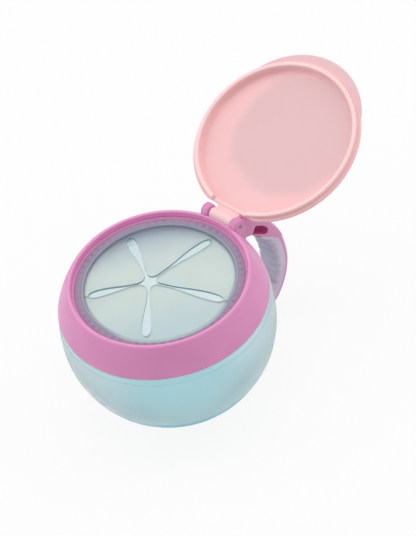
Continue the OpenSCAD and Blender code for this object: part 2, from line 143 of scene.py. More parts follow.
class StageSettings(bpy.types.PropertyGroup):
    """Camera and light."""

    lens: FloatProperty(name="Lens", description="Focal length of the camera",
                        default=131.63, min=10, max=400, unit="CAMERA")
    key: FloatProperty(name="Key light", description="Power of each area light",
                       default=3.6, min=0, max=50, unit="POWER")
    room: FloatProperty(name="Room light", description="Strength of the even light from all round",
                        default=0.72, min=0, max=3)
    dark: FloatProperty(name="Dark side", description="Light missing on the camera's side",
                        default=0.4, min=0, max=1, subtype="FACTOR")


# ---- mesh helpers ------------------------


def grid_quads(rows, columns, wrap_rows=False, wrap_columns=False):
    """Quads between neighbours of a grid of points, with either direction
    joined back to its start."""
    i = np.arange(rows if wrap_rows else rows - 1)
    j = np.arange(columns if wrap_columns else columns - 1)
    i, j = np.meshgrid(i, j, indexing="ij")
    i2, j2 = (i + 1) % rows, (j + 1) % columns
    return np.stack([i * columns + j, i2 * columns + j, i2 * columns + j2, i * columns + j2],
                    -1).reshape(-1, 4)


def surface(rings, closed=False):
    """Rings of points (rings, points, 3) as (vertices, quads, number of the
    first material), with the last ring joined to the first one if closed.
    The quads are turned so that a watertight shape has a positive volume."""
    rings = np.asarray(rings)
    v, q = rings.reshape(-1, 3), grid_quads(*rings.shape[:2], closed, True)
    a, b, c, d = (v[q[:, k]] for k in range(4))
    volume = np.einsum("ij,ij->", a, np.cross(b, c)) + np.einsum("ij,ij->", a, np.cross(c, d))
    return v, q[:, ::-1] if volume < 0 else q, 0


def capped(rings):
    """The surface through rings of points, drawn together to a point in the
    middle of the first ring and of the last."""
    rings = np.asarray(rings)
    first, last = (np.broadcast_to(rings[k].mean(axis=0), rings[k].shape) for k in (0, -1))
    return surface([first, *rings, last])


def placed(name, data):
    """A new object in the scene that shows the data."""
    item = bpy.data.objects.new(name, data)
    bpy.context.scene.collection.objects.link(item)
    return item


def add_mesh(name, parts, materials, body, replaces=(), sharp=38.0):
    """Joins the parts into one smooth-shaded mesh object, in metres, closes
    seams and poles, and lets it ride on its body."""
    vertices = np.vstack([p[0] for p in parts]) * MM
    starts = np.cumsum([0] + [len(p[0]) for p in parts[:-1]])
    quads = np.vstack([p[1] + s for p, s in zip(parts, starts)])
    tags = np.concatenate([np.broadcast_to(p[2], len(p[1])) for p in parts])
    mesh = bpy.data.meshes.new(name)
    mesh.from_pydata(vertices, [], quads)
    mesh.polygons.foreach_set("material_index", tags.astype(np.int32))
    for material in materials:
        mesh.materials.append(material)
    work = bmesh.new()
    work.from_mesh(mesh)
    bmesh.ops.remove_doubles(work, verts=work.verts, dist=2e-6)
    work.to_mesh(mesh)
    work.free()
    mesh.shade_smooth()
    mesh.set_sharp_from_angle(angle=math.radians(sharp))
    mesh.update()
    piece = placed(name, mesh)
    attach(piece, body)
    if replaces:
        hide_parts(*replaces)


def rounded(corners, closed=False, steps=6):
    """A line through corners (x, y, radius): every corner with a radius is
    replaced by the arc of that radius that touches both of its sides."""
    pieces, n = [], len(corners)
    for i, (x, y, r) in enumerate(corners):
        p = np.array([x, y], float)
        if r <= 0 or (not closed and i in (0, n - 1)):
            pieces.append(p[None])
            continue
        a, b = (np.array(corners[k][:2], float) - p for k in (i - 1, (i + 1) % n))
        la, lb = np.linalg.norm(a), np.linalg.norm(b)
        a, b = a / la, b / lb
        half = math.acos(a @ b) / 2
        cut = min(r / math.tan(half), 0.49 * la, 0.49 * lb)
        r = cut * math.tan(half)
        centre = p + (a + b) / np.linalg.norm(a + b) * r / math.sin(half)
        u, v = p + a * cut - centre, p + b * cut - centre
        angle = math.pi - 2 * half
        t = np.linspace(0, angle, steps + 1)[:, None]
        pieces.append(centre + (np.sin(angle - t) * u + np.sin(t) * v) / math.sin(angle))
    return np.vstack(pieces)


def looped(line):
    """The line with its first point added again at its end."""
    return np.vstack([line, line[:1]])


def spread(line, count):
    """The closed line's shape again, as count points at even distances."""
    line = looped(line)
    run = np.concatenate([[0], np.cumsum(np.linalg.norm(np.diff(line, axis=0), axis=1))])
    at = np.linspace(0, run[-1], count, endpoint=False)
    return np.stack([np.interp(at, run, line[:, k]) for k in (0, 1)], -1)


def subdivided(line, longest):
    """The line with points added so that no step is longer than longest."""
    out = []
    for p, q in zip(line[:-1], line[1:]):
        n = max(1, math.ceil(np.linalg.norm(q - p) / longest))
        out.append(p + (q - p) * (np.arange(n) / n)[:, None])
    return np.vstack(out + [line[-1:]])


def unit(a):
    """The unit vectors (cos a, sin a)."""
    return np.stack([np.cos(a), np.sin(a)], -1)


def circle(centre, radius, start=0.0, end=360.0, count=96):
    """Points of a circle or arc, from one angle to another, in degrees."""
    a = np.radians(np.linspace(start, end, count, endpoint=abs(end - start) < 360))
    return np.array(centre) + radius * unit(a)


def round_star(outline, centre, count, step):
    """The closed outline's points seen from centre at count even angles: the
    distance at each angle is read off the outline in steps of that length."""
    v = subdivided(looped(outline), step) - centre
    at = np.linspace(0, 2 * np.pi, count, endpoint=False)
    r = np.interp(at, np.arctan2(v[:, 1], v[:, 0]), np.linalg.norm(v, axis=1), period=2 * np.pi)
    return centre + r[:, None] * unit(at)


def revolved(profile, turns, closed=True):
    """A surface of revolution about Z: each profile point (r, z) goes round
    as (r cos a, r sin a, z)."""
    way = circle((0, 0), 1, count=turns)
    rings = [np.column_stack([r * way, np.full(turns, z)]) for r, z in profile]
    return surface(rings, closed)


def thread_ridges(wall, side, middle):
    """Ridges of a screw thread on a wall's outside (side 1) or inside (side
    -1): a rounded trapezoid carried along a helix, z = middle + lead * a /
    360, its height fading to nothing at both ends."""
    tall, sunk, arc = 0.8, 0.3, 76.0
    shape = rounded([(-sunk, -1.09, 0), (tall, -0.4, 0.25), (tall, 0.4, 0.25), (-sunk, 1.09, 0)],
                    steps=3)
    u = np.linspace(-0.5, 0.5, 49)
    fade = np.sqrt(np.clip(1 - (np.abs(u) * 2) ** 10, 0, 1))[:, None]
    r = wall + side * (-sunk + (shape[:, 0] + sunk)[None] * fade)
    z = middle + shape[:, 1][None] * fade + (THREAD_LEAD * arc / 360 * u)[:, None]
    parts = []
    for k in range(THREAD_STARTS):
        a = (np.radians(arc) * u + k * 2 * np.pi / THREAD_STARTS)[:, None]
        parts.append(surface(np.stack([r * np.cos(a), r * np.sin(a), z], -1)))
    return parts


def across(points_yz, x):
    """Points (distance, height) set at the sideways place x."""
    x = np.broadcast_to(x, points_yz.shape[:-1])
    return np.concatenate([x[..., None], points_yz], -1)


def edge_curve(steps=5):
    """A quarter round of radius 1 as pairs (inset, depth), from the flat face
    to the side wall."""
    t = np.linspace(0, np.pi / 2, steps + 1)
    return list(zip(1 - np.sin(t), 1 - np.cos(t)))


def plate(outline, half, edge):
    """A flat plate across X, from -half to half, with rounded edges: the
    outline (distance, height), drawn in about its middle by each edge curve's
    inset, and closed to a point in the middle of both faces."""
    middle = outline.mean(axis=0)
    size = np.linalg.norm(outline - middle, axis=1)[:, None]
    rows = [(0 * size, 0), (0.5 + 0 * size, 0)]
    rows += [(1 - edge * inset / size, edge * depth) for inset, depth in edge_curve()]
    one = [across(middle + (outline - middle) * share, half - depth) for share, depth in rows]
    return surface([ring * (-1, 1, 1) for ring in one] + one[::-1])


def eyed_plate(hole, outline, low, high, edge, hole_edge):
    """A plate across X with a hole: at every point round it, the section is
    a rounded box between the hole's edge and the outline. edge is the
    rounding of the outline's edges, one number or one for each point."""
    way = outline - hole
    span = np.linalg.norm(way, axis=1)
    way = way / span[:, None]
    curve = edge_curve()
    half = [(hole_edge * inset, hole_edge * depth) for inset, depth in curve[::-1]]
    half += [(hole_edge + share * (span - edge - hole_edge), 0) for share in (0.33, 0.67)]
    half += [(span - edge * inset, edge * depth) for inset, depth in curve]
    rows = [(d, low + depth) for d, depth in half] + [(d, high - depth) for d, depth in half[::-1]]
    points = [across(hole + way * np.broadcast_to(d, span.shape)[:, None], x) for d, x in rows]
    return surface(points, True)


# ---- materials ------------------------


class Nodes:
    """A node tree, filled in step by step. An input of a node is a value or
    the output that feeds it."""

    def __init__(self, tree):
        self.tree = tree

    def add(self, kind, inputs=None, **settings):
        """A shader node with its settings and inputs."""
        node = self.tree.nodes.new("ShaderNode" + kind)
        for key, value in settings.items():
            setattr(node, key, value)
        for key, value in (inputs or {}).items():
            self.put(node.inputs[key], value)
        return node

    def put(self, socket, value):
        """Links an output to a socket, or sets the socket's value."""
        if isinstance(value, bpy.types.NodeSocket):
            self.tree.links.new(value, socket)
        else:
            socket.default_value = (*value[:3], 1) if socket.type == "RGBA" else value

    def calc(self, operation, a, b=0.0):
        """A Math node's result."""
        return self.add("Math", {0: a, 1: b}, operation=operation).outputs[0]

    def product(self, first, *others):
        """All the values multiplied."""
        for other in others:
            first = self.calc("MULTIPLY", first, other)
        return first

    def size(self, a, b):
        """The length of the plane vector (a, b)."""
        return self.calc("SQRT", self.calc("ADD", self.product(a, a), self.product(b, b)))

    def apart(self, value, target):
        """How far a value is from its target, either way."""
        return self.calc("ABSOLUTE", self.calc("SUBTRACT", value, target))

    def along(self, direction, place):
        """How far a place lies along a direction."""
        return self.add("VectorMath", {0: place, 1: tuple(direction)},
                        operation="DOT_PRODUCT").outputs["Value"]

    def between(self, value, low, high, to_low, to_high):
        """value's span low to high, stretched smoothly to to_low to to_high."""
        return self.add("MapRange", {0: value, 1: low, 2: high, 3: to_low, 4: to_high},
                        interpolation_type="SMOOTHSTEP").outputs[0]

    def mixed(self, output, share, first, second):
        """Feeds a new output node with first, and with second by its share."""
        mix = self.add("MixShader", {0: share, 1: first.outputs[0], 2: second.outputs[0]})
        self.add(output, {0: mix.outputs[0]})


class Finish(Nodes):
    """A material's nodes. Places are the part's own, in metres; rise and fall
    take their ends in millimetres."""

    def __init__(self, name):
        self.material = bpy.data.materials.new(name)
        self.material.use_nodes = True
        super().__init__(self.material.node_tree)
        self.shader = self.tree.nodes["Principled BSDF"]
        self.place = self.add("TexCoord").outputs["Object"]

    def axes(self, place=None):
        """x, y and z of a place, which is the surface's own unless given."""
        return self.add("SeparateXYZ", {0: place or self.place}).outputs

    def rise(self, value, low, high, most=1.0):
        """A share that grows from 0, where value is low, to most at high."""
        return self.between(value, low * MM, high * MM, 0.0, most)

    def fall(self, value, low, high, most=1.0):
        """A share that falls from most, where value is low, to 0 at high."""
        return self.between(value, low * MM, high * MM, most, 0.0)

    def noise(self, scale, detail=3.0, roughness=0.5, vector=None):
        """Even noise, scale given in cells a metre."""
        return self.add("TexNoise", {"Vector": vector or self.place, "Scale": scale,
                                     "Detail": detail, "Roughness": roughness}).outputs["Fac"]

    def uneven(self, noise, low, high):
        """The middle of a noise's span, stretched to low to high."""
        return self.between(noise, 0.3, 0.7, low, high)

    def mix(self, share, first, second):
        """A colour between first, at share 0, and second, at share 1."""
        return self.add("Mix", {0: share, 6: first, 7: second}, data_type="RGBA").outputs[2]

    def clouded(self, noise, base, depth):
        """The base colour, darker and lighter by depth as the noise goes."""
        darker, lighter = ([min(1.0, v * k) for v in base] for k in (1 - depth, 1 + depth))
        return self.mix(self.uneven(noise, 0.0, 1.0), darker, lighter)

    def feed(self, **inputs):
        """Sets or links inputs of the main shader, named with _ for a space."""
        for name, value in inputs.items():
            self.put(self.shader.inputs[name.replace("_", " ")], value)

    def grain(self, height, strength):
        """Surface relief of the given height pattern, 0.04 mm deep."""
        bump = self.add("Bump", {"Height": height, "Strength": strength, "Distance": 0.04 * MM})
        self.feed(Normal=bump.outputs["Normal"])


def moulded(name, base, roughness=0.34, grain=0.12, cloud=0.05):
    """Moulded plastic: faint flow clouds in the colour, a fine mould texture
    and slightly uneven gloss."""
    f = Finish(name)
    f.feed(Base_Color=f.clouded(f.noise(55.0, 3.0, 0.55), base, cloud),
           Roughness=f.uneven(f.noise(140.0, 4.0), roughness - 0.04, roughness + 0.05))
    f.grain(f.noise(2600.0, 2.0, 0.6), grain)
    return f


def bowl_finish(s):
    """Clear tinted plastic, lightly frosted, so that what is inside shows
    only as soft patches. Light and shade are painted on its outer face: a
    deeper tint low down on the seen side stands in for light running along
    the wall, a darker line along the moulded line is painted shade, the face
    turned to the camera is painted darker, and the base is painted a deeper
    tint for the shadow under the bowl."""
    f = Finish("clear_aqua_plastic")
    flow = f.noise(40.0, 2.0, 0.5)
    x, y, height = f.axes()
    ahead = f.along(FRONT, f.place)
    from_middle = f.add("VectorMath", {0: f.place, 1: (0, 0, s.belly * MM)},
                        operation="DISTANCE").outputs["Value"]
    outer = f.rise(from_middle, s.radius - 1.2, s.radius - 0.8)
    # Painted light: a deeper aqua tint low down on the seen side stands in for light running along
    # the wall.
    low = f.fall(f.calc("ADD", height, f.product(flow, 3 * MM)), 19, 28, 0.95)
    painted_light_band = f.product(outer, low, f.rise(height, 9.5, 12.5), f.rise(ahead, -5, 20))
    # Painted shade: a darker line along the moulded line.
    seam = f.product(outer, f.fall(f.apart(height, SEAM_Z * MM), 0.1, 0.7, 0.3))
    # Painted shade: the face turned to the camera is darker.
    facing = f.calc("DIVIDE", ahead, f.size(x, y))
    front = f.product(outer, f.between(facing, 0.7, 0.95, 0, 1))
    front_shade = [v * k for v, k in zip(s.tint, (0.82, 0.90, 0.88))]
    base = f.mix(front, f.clouded(flow, s.tint, 0.02), front_shade)
    base = f.mix(f.calc("ADD", painted_light_band, seam), base, s.deep)
    # Painted shadow: up to about 5 mm the bowl is a deeper tint, for the shadow under the bowl.
    f.feed(Base_Color=f.mix(f.fall(height, 3, 5.5), base, linear(206, 240, 247)),
           Roughness=f.uneven(f.noise(60.0, 2.0), 0.30, 0.36),
           Transmission_Weight=f.between(painted_light_band, 0.0, 1.0, 0.9, 0.6),
           IOR=f.between(painted_light_band, 0.0, 1.0, 1.25, 1.08),
           Specular_IOR_Level=0.4,
           Coat_Weight=f.between(painted_light_band, 0.0, 0.6, 0.2, 0.0),
           Coat_Roughness=0.08)
    return f.material


def skin_finish(s):
    """Soft translucent rubber. Over the carrier ring it is a thin skin: the
    ring's pink and the lock holes' grey spots show through it. Light and
    shade are painted on the disc: painted shade, darker and bluer, at the far
    side, painted light at the near one, a darker band at the near rim, and a
    painted shadow line round the rim. At the near side the skin over the
    ring's inner edge has the disc's own colour."""
    f = Finish("soft_translucent_rubber")
    x, y, _ = f.axes()
    r = f.size(x, y)
    ahead = f.along(FRONT, f.place)
    near = f.rise(ahead, 20, 34)

    turn = f.product(f.calc("ARCTAN2", y, x), s.locks / (2 * math.pi))
    swing = f.apart(f.calc("FRACT", turn), 0.5)
    side = f.product(swing, 2 * math.pi * LOCK_R * MM / s.locks)
    away = f.size(side, f.calc("SUBTRACT", r, LOCK_R * MM))
    away = f.calc("ADD", away, f.product(f.noise(260.0, 3.0), 0.9 * MM))
    spot = f.product(f.fall(away, 0.65, 2.15, 0.6),
                     f.between(f.noise(90.0, 1.0), 0.35, 0.6, 0.3, 1.0))
    over_ring = f.mix(f.fall(r, 36.2, 38.8, 0.8), s.ring, linear(160, 150, 170))
    over_ring = f.mix(spot, over_ring, linear(128, 118, 138))

    base = f.clouded(f.noise(45.0, 3.0), s.disc, 0.03)
    # Painted shade: the disc is darker and bluer on the far side, under the collar's shade.
    base = f.mix(f.fall(ahead, -34, -8, 0.6), base, linear(190, 198, 216))
    # Painted light: the disc is lighter on the near side.
    base = f.mix(f.rise(ahead, 8, 30), base, linear(222, 231, 231))
    # Painted shade: a darker band at the near rim, under the collar's lip.
    base = f.mix(f.product(f.rise(r, 34.9, 35.5), near), base, linear(174, 194, 194))

    shown = f.calc("SUBTRACT", r, f.product(near, 1.2 * MM))
    base = f.mix(f.rise(shown, 35.3, 36.1), base, over_ring)
    # Painted shadow: a dark line round the step at the disc's rim, strongest on the far side.
    rim = f.product(f.rise(shown, 33.4, 35.0, 0.7), f.fall(shown, 35.7, 36.8),
                    f.between(ahead, 22 * MM, 34.5 * MM, 1.0, 0.1))
    f.feed(Base_Color=f.mix(rim, base, linear(124, 128, 155)),
           Roughness=f.uneven(f.noise(150.0, 4.0), 0.34, 0.40),
           Transmission_Weight=f.fall(r, 34.6, 35.0, 0.8),
           IOR=1.2)
    return f.material


def lid_finish(s, outside):
    """Pale translucent plastic, with light painted into its colour: lighter on
    the plug ring's walls and on the strap, standing in for light through the
    thin plastic where they lie in shade, a painted highlight on the plug
    ring's end, and lighter on the knuckle. A plain round panel is printed on
    the lid's outside; from the inside it is a soft greyish shade. The lid's
    edge and tab take a share of the panel's colour too."""
    f = Finish("pale_pink_printed" if outside else "pale_pink_plastic")
    back = Matrix.Rotation(OPEN_ANGLE, 3, "X")
    hinge = Vector((0, *HINGE)) * MM
    shut = f.add("Mapping", {"Vector": f.place, "Location": hinge - back @ hinge,
                             "Rotation": (OPEN_ANGLE, 0, 0)}).outputs[0]
    x, y, z = f.axes(shut)
    r = f.size(x, y)
    away = f.size(f.calc("SUBTRACT", x, 5 * MM), f.calc("SUBTRACT", y, -6 * MM))
    if outside:
        panel = f.fall(away, 28.3, 28.6)
    else:
        wander = f.product(f.noise(45.0, 2.0, vector=shut), 9 * MM)
        panel = f.fall(f.calc("ADD", away, wander), 32, 38, 0.5)
    panel = f.calc("ADD", panel, f.rise(r, 41.3, 41.7, 0.45))
    # Painted light: the plug ring's walls are lighter, standing in for light through the thin
    # plastic.
    wall = f.product(f.rise(r, 37.5, 37.9, 0.8), f.fall(r, 38.2, 38.8))
    # Painted highlight on the plug ring's end.
    wall = f.calc("MAXIMUM", wall, f.fall(z, 73.0, 73.6, 0.6))
    # Painted light on the strap, which lies in shade.
    thin = f.calc("MAXIMUM", wall, f.rise(y, 36.6, 38.0))
    # Colours of the painted light: lightest at the plug ring's end, a little less on the knuckle.
    light = f.mix(f.rise(z, 73.2, 74.4), linear(255, 226, 225), linear(255, 208, 209))
    light = f.mix(f.rise(y, 41.0, 41.6), light, linear(251, 210, 211))
    base = f.mix(panel, f.clouded(f.noise(50.0, 3.0), s.plastic, 0.015), s.panel)
    f.feed(Base_Color=f.mix(thin, base, light),
           Roughness=f.uneven(f.noise(140.0, 4.0), 0.36, 0.44))
    f.grain(f.noise(2200.0, 2.0), 0.08)
    return f.material


def collar_plastic(s):
    """The collar's plastic, made once and shared by its pieces. Light and
    shade are painted into it: the mouth's wall is painted lighter, less on
    the camera's left, the rim's crest has a painted highlight, and inside
    the strap slot a deeper colour is painted shade."""
    name = "purple_pink_plastic"
    if name in bpy.data.materials:
        return bpy.data.materials[name]
    f = moulded(name, s.plastic, roughness=0.36, grain=0.10, cloud=0.03)
    base = f.shader.inputs["Base Color"].links[0].from_socket
    x, y, z = f.axes()
    r = f.size(x, y)
    # Painted light: the mouth's wall is lighter, less so on the camera's left.
    wall = f.product(f.fall(r, 40.6, 40.9), f.fall(z, 73.8, 74.9),
                     f.between(f.along(LEFT, f.place), 5 * MM, 35 * MM, 1.0, 0.6))
    base = f.mix(wall, base, linear(255, 166, 220))
    # Painted highlight on the rim's crest.
    crest = f.product(f.rise(z, 74.6, 74.95, 0.8), f.fall(r, 42.4, 42.8))
    base = f.mix(crest, base, linear(238, 158, 208))
    centre, along, down = slot_axes()
    # Painted shade: a deeper colour inside the strap slot.
    in_slot = f.fall(f.calc("ABSOLUTE", x), 5.5, 6.2, 0.85)
    for axis, low, high in ((along, 6.0, 6.2), (down, 2.2, 2.4)):
        off = f.apart(f.along((0, *axis), f.place), float(centre @ axis) * MM)
        in_slot = f.product(in_slot, f.fall(off, low, high))
    f.feed(Base_Color=f.mix(in_slot, base, linear(214, 90, 158)))
    return f.material


def grip_finish(s):
    """Soft-touch rubber: matte, with a fine leathery grain."""
    f = moulded("soft_grip_rubber", s.grip, roughness=0.62, grain=0.35)
    f.feed(Sheen_Weight=0.15, Sheen_Roughness=0.4)
    return f.material


def pin_finish():
    """Drawn steel wire: fine marks along the pin."""
    f = Finish("drawn_steel")
    stretch = f.add("Mapping", {"Vector": f.place, "Scale": (40, 3000, 3000)})
    marks = f.noise(1.0, 4.0, vector=stretch.outputs[0])
    f.feed(Base_Color=f.mix(marks, linear(112, 112, 118), linear(150, 151, 156)),
           Roughness=f.between(marks, 0.2, 0.8, 0.28, 0.42),
           Metallic=1.0)
    return f.material


# ---- pieces ------------------------


def bowl_profile(s):
    """The bowl's wall as (radius, height) points: a sphere on a sloping foot,
    a side that draws in along a parabola to the shoulder, with the fine
    moulded line round it, and the neck."""
    foot_top, side_top, shoulder, neck_top = 4.6, 59.4, 60.2, 70.4  # heights
    neck_in = 39.55  # the neck's inside radius
    down = math.degrees(math.asin((s.belly - foot_top) / s.radius))
    belly = circle((0, s.belly), s.radius, -down, 0, 40)
    near_seam = (np.linspace(SEAM_Z - 0.8, SEAM_Z + 0.8, 9) - s.belly) / (side_top - s.belly)
    u = np.unique(np.concatenate([np.linspace(0, 1, 12)[1:], near_seam]))
    z = s.belly + (side_top - s.belly) * u
    seam = 0.18 * np.exp(-((z - SEAM_Z) / 0.35) ** 2)
    side = np.stack([s.radius - u ** 2 - seam, z], -1)
    foot = rounded([(0, 0, 0), (s.foot, 0, 0.6), (*belly[0], 1.2), (*belly[4], 0)])
    neck = rounded([(side[-1, 0], side_top - 0.4, 0), (s.radius - 1, shoulder, 0.7),
                    (NECK_R, shoulder, 0.4), (NECK_R, neck_top, 0.4), (neck_in, neck_top, 0.4),
                    (neck_in, 58.6, 0.8), (45.6, 57.5, 1.6), (47.0, 55.0, 0)])
    r = s.radius - s.wall
    u = np.linspace(1, 0, 8)[:-1]
    inside = np.stack([r - u ** 2, s.belly + (54.6 - s.belly) * u], -1)
    down = math.degrees(math.asin((s.belly - s.wall) / r))
    hollow = circle((0, s.belly), r, 0, -down, 40)
    floor = rounded([(*hollow[-5], 0), (hollow[-1, 0], s.wall, 3.0), (0, s.wall, 0)])
    return np.vstack([subdivided(foot[:-1], 3.0), belly[5:], side[:-1], neck[:-1], inside,
                      hollow[:-5], subdivided(floor, 3.0)])


class SNACK_OT_bowl(bpy.types.Operator):
    """Builds the clear bowl with its threaded neck"""

    bl_idname = "snack.bowl"
    bl_label = "Bowl"

    def execute(self, context):
        s = context.scene.snack_bowl
        parts = [revolved(bowl_profile(s), 256, closed=False)] + thread_ridges(NECK_R, 1, 66.5)
        add_mesh("bowl_shell", parts, [bowl_finish(s)], "bowl", ["bowl"])
        return {"FINISHED"}


HUB = np.array([-2.8, -3.6])  # where the star's arms meet
STAR_TURN = 14.0              # angle of its first arm's tip, seen from the disc's centre
ARMS = 5


def disc_top(plan, rise):
    """Points of the soft disc's top over a plan: a shallow dome that falls
    with the square of the distance from the axis."""
    z = DISC_Z + rise * (1 - (plan ** 2).sum(-1, keepdims=True) / DISC_R ** 2)
    return np.concatenate([plan, z], -1)


def rim_distance(angle):
    """Distance from the hub to the disc's rim, at an angle seen from the hub."""
    c = unit(angle) @ HUB
    return -c + np.sqrt(c * c - HUB @ HUB + DISC_R ** 2)


def petals(s):
    """The petals between the star's arms, as plans. Seen from the hub, a
    petal's point at (u, v) has an angle between those of the two arms' edges
    and a share of the way to the disc's rim that runs from the petal's
    rounded tip, at v = 0, to the rim, at v = 1."""
    neck = 0.6        # half of an arm's width where it starts
    hole = 3.3        # radius of the hole in the middle
    round_end = 0.86  # share of an arm's length where its round end begins
    tips = circle(-HUB, s.reach, STAR_TURN, STAR_TURN + 360, ARMS)
    reach = np.linalg.norm(tips, axis=1)
    heading = np.arctan2(tips[:, 1], tips[:, 0])

    def arm_edge(start, full, angle, side):
        """Angles and shares of one edge of an arm, from its neck to its tip
        and on to the rim: the width swells to full at four fifths of the
        length, and the end is a half ellipse."""
        share = np.linspace(start / full, round_end, 30)
        swell = np.clip((share - 0.25) / 0.55, 0, 1)
        wide = neck + (s.arm / 2 - neck) * np.sin(np.pi / 2 * swell) ** 2
        a = np.linspace(0, np.pi / 2, 15)[1:]
        along = np.concatenate([share, round_end + (1 - round_end) * np.sin(a)]) * full
        wide = np.concatenate([wide, wide[-1] * np.cos(a)])
        theta = angle + side * np.arctan2(wide, along)
        share = np.hypot(along, wide) / rim_distance(theta)
        return (np.concatenate([theta, np.full(6, angle)]),
                np.concatenate([share, np.linspace(share[-1], 1, 7)[1:]]))

    fade = np.clip(1 - np.linspace(0, 1, 50) / 0.35, 0, 1) ** 2
    u = np.linspace(0, 1, 40)[:, None]
    sheets = []
    for i in range(ARMS):
        j = (i + 1) % ARMS
        a, b = heading[i], heading[j]
        b = b + 2 * np.pi if b < a else b
        slant = math.sin((b - a) / 2)
        tip_r = (hole - neck / slant) / (1 / slant - 1)
        centre = (tip_r + neck) / slant
        start = centre * math.cos((b - a) / 2)
        first = arm_edge(start, reach[i], a, 1)
        second = arm_edge(start, reach[j], b, -1)
        theta, share = (p * (1 - u) + q * u for p, q in zip(first, second))
        phi = theta[:, :1] - (a + b) / 2
        tip = centre * np.cos(phi) - np.sqrt(np.maximum(tip_r ** 2 - (centre * np.sin(phi)) ** 2, 0))
        pull = tip / rim_distance(theta[:, :1]) - share[:, :1]
        rho = (share + pull * fade) * rim_distance(theta)
        sheets.append(HUB + rho[..., None] * unit(theta))
    return sheets


def faced(points, way, material):
    """A grid of points as a part whose quads face the given way."""
    v, q = points.reshape(-1, 3), grid_quads(*points.shape[:2])
    n = np.cross(v[q[:, 1]] - v[q[:, 0]], v[q[:, 2]] - v[q[:, 0]])
    return v, q if (n @ np.asarray(way)).sum() > 0 else q[:, ::-1], material


class SNACK_OT_flap(bpy.types.Operator):
    """Builds the soft flap and the ring that carries it"""

    bl_idname = "snack.flap"
    bl_label = "Flap"

    def execute(self, context):
        s = context.scene.snack_flap
        soft = skin_finish(s)
        # Painted shade: the walls of the star's slots get a darker teal colour.
        cut = moulded("cut_edge_rubber", linear(146, 178, 184), roughness=0.5, grain=0.1).material
        parts = []
        for sheet in petals(s):
            top = disc_top(sheet, s.rise)
            low = top - (0, 0, DISC_T)
            parts += [faced(top, (0, 0, 1), 0), faced(low, (0, 0, -1), 0)]
            middle = top.reshape(-1, 3).mean(axis=0)
            for side in (np.s_[0], np.s_[-1], np.s_[:, 0]):
                wall = np.stack([top[side], low[side]])
                parts.append(faced(wall, wall[0].mean(axis=0) - middle, 1))
        add_mesh("flap_disc", parts, [soft, cut], "flap_insert",
                 ["flap_membrane"], sharp=50)
        skin = rounded([(35.0, 70.6, 0), (35.95, 70.6, 0), (35.95, 71.65, 0), (39.2, 71.65, 0),
                        (39.2, 72.1, 0.2), (DISC_R, 72.1, 0.3), (35.0, 71.3, 0)], True, steps=4)
        add_mesh("flap_skin", [revolved(skin, 288)], [soft], "flap_insert")
        ring = rounded([(36.0, 70.5, 0.1), (42.2, 70.5, 0.1), (42.2, 72.06, 0.1),
                        (39.25, 72.06, 0.1), (39.25, 71.6, 0), (36.0, 71.6, 0)], True)
        hard = moulded("ring_plastic", linear(216, 148, 194), roughness=0.3).material
        add_mesh("flap_carrier", [revolved(ring, 288)], [hard], "flap_insert",
                 ["flap_ring"])
        return {"FINISHED"}


class SNACK_OT_collar(bpy.types.Operator):
    """Builds the collar with its rim, bore and thread"""

    bl_idname = "snack.collar"
    bl_label = "Collar"

    def execute(self, context):
        s = context.scene.snack_collar
        foot, lip, top, foot_r = 60.4, 72.2, 74.35, 49.0  # heights, then the foot's radius
        u = np.linspace(0, 1, 16)
        cone = np.stack([foot_r - 6.5 * u + 4 * s.bulge * u * (1 - u), foot + (top - foot) * u], -1)
        low = rounded([(foot_r - 2, foot, 0.3), (foot_r, foot, 0.5), (*cone[2], 0)])
        rim = rounded([(*cone[-3], 0), (s.mouth + 2.0, top, 0.5), (s.mouth + 1.15, 75.0, 0.6),
                       (s.mouth, 74.75, 0.5), (s.mouth, lip, 0.15), (BORE_R, lip, 0),
                       (BORE_R, foot, 0.3), (44.2, foot, 0.3), (44.2, 65.4, 0.5),
                       (45.55, 65.4, 0.5), (foot_r - 2, foot, 0)])
        profile = np.vstack([low[1:-1], cone[2:-3], rim[:-1]])
        parts = [revolved(profile, 256)] + thread_ridges(BORE_R, -1, 65.17)
        add_mesh("collar_ring", parts, [collar_plastic(s)], "collar", ["collar"])
        return {"FINISHED"}


class SNACK_OT_hinge(bpy.types.Operator):
    """Builds the hinge's ears and the block between them, and finishes the pin"""

    bl_idname = "snack.hinge"
    bl_label = "Hinge"

    def execute(self, context):
        s = context.scene.snack_collar
        y, z = HINGE
        r, foot = s.ear, 63.0
        gap, ear_w = 6.85, 4.0  # half of the gap between the ears, and an ear's width
        lower = rounded([(y - r, z - 0.5, 0), (y - r + 0.1, foot, 0.5), (y + 2.2, foot, 0.5),
                         (y + r, z - 0.5, 0)])
        outline = round_star(np.vstack([circle(HINGE, r, 0, 180, 40), lower]), HINGE, 96, 0.3)
        block = np.vstack([[(50.55, 67.0), (50.55, 73.4), (50.15, 74.2)],
                           circle(HINGE, 3.1, -68, -120, 24),  # room for the knuckle
                           [(42.75, 71.2), (42.75, foot), (47.2, foot)]])
        parts = [plate(spread(block, 96), gap - 0.01, 0.3)]
        for low in (-gap - ear_w, gap):
            parts.append(eyed_plate(circle(HINGE, 1.03), outline, low, low + ear_w, 0.9, 0.4))
        add_mesh("hinge_ears", parts, [collar_plastic(s)], "collar")
        finish = pin_finish()
        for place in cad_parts["hinge_pin"].material_slots:
            place.material = finish
        return {"FINISHED"}


# The handle's outer edge is two arcs, which meet at its widest point.
UPPER, UPPER_R = np.array([27.0, 28.0]), 49.4
LOWER, LOWER_R = np.array([47.4, 28.0]), 29.0
HANDLE_W, HANDLE_T, SPINE_T = 13.0, 9.0, 3.3  # its width, its thickness and its spine's
CORNER_R = 3.0
SLOT_SLOPE = math.radians(40)
SLOT_L, SLOT_H = 5.7, 2.2  # half of the strap slot's length and height
GRIP_START = 3.6           # from the slot's centre down to the line where the grip begins


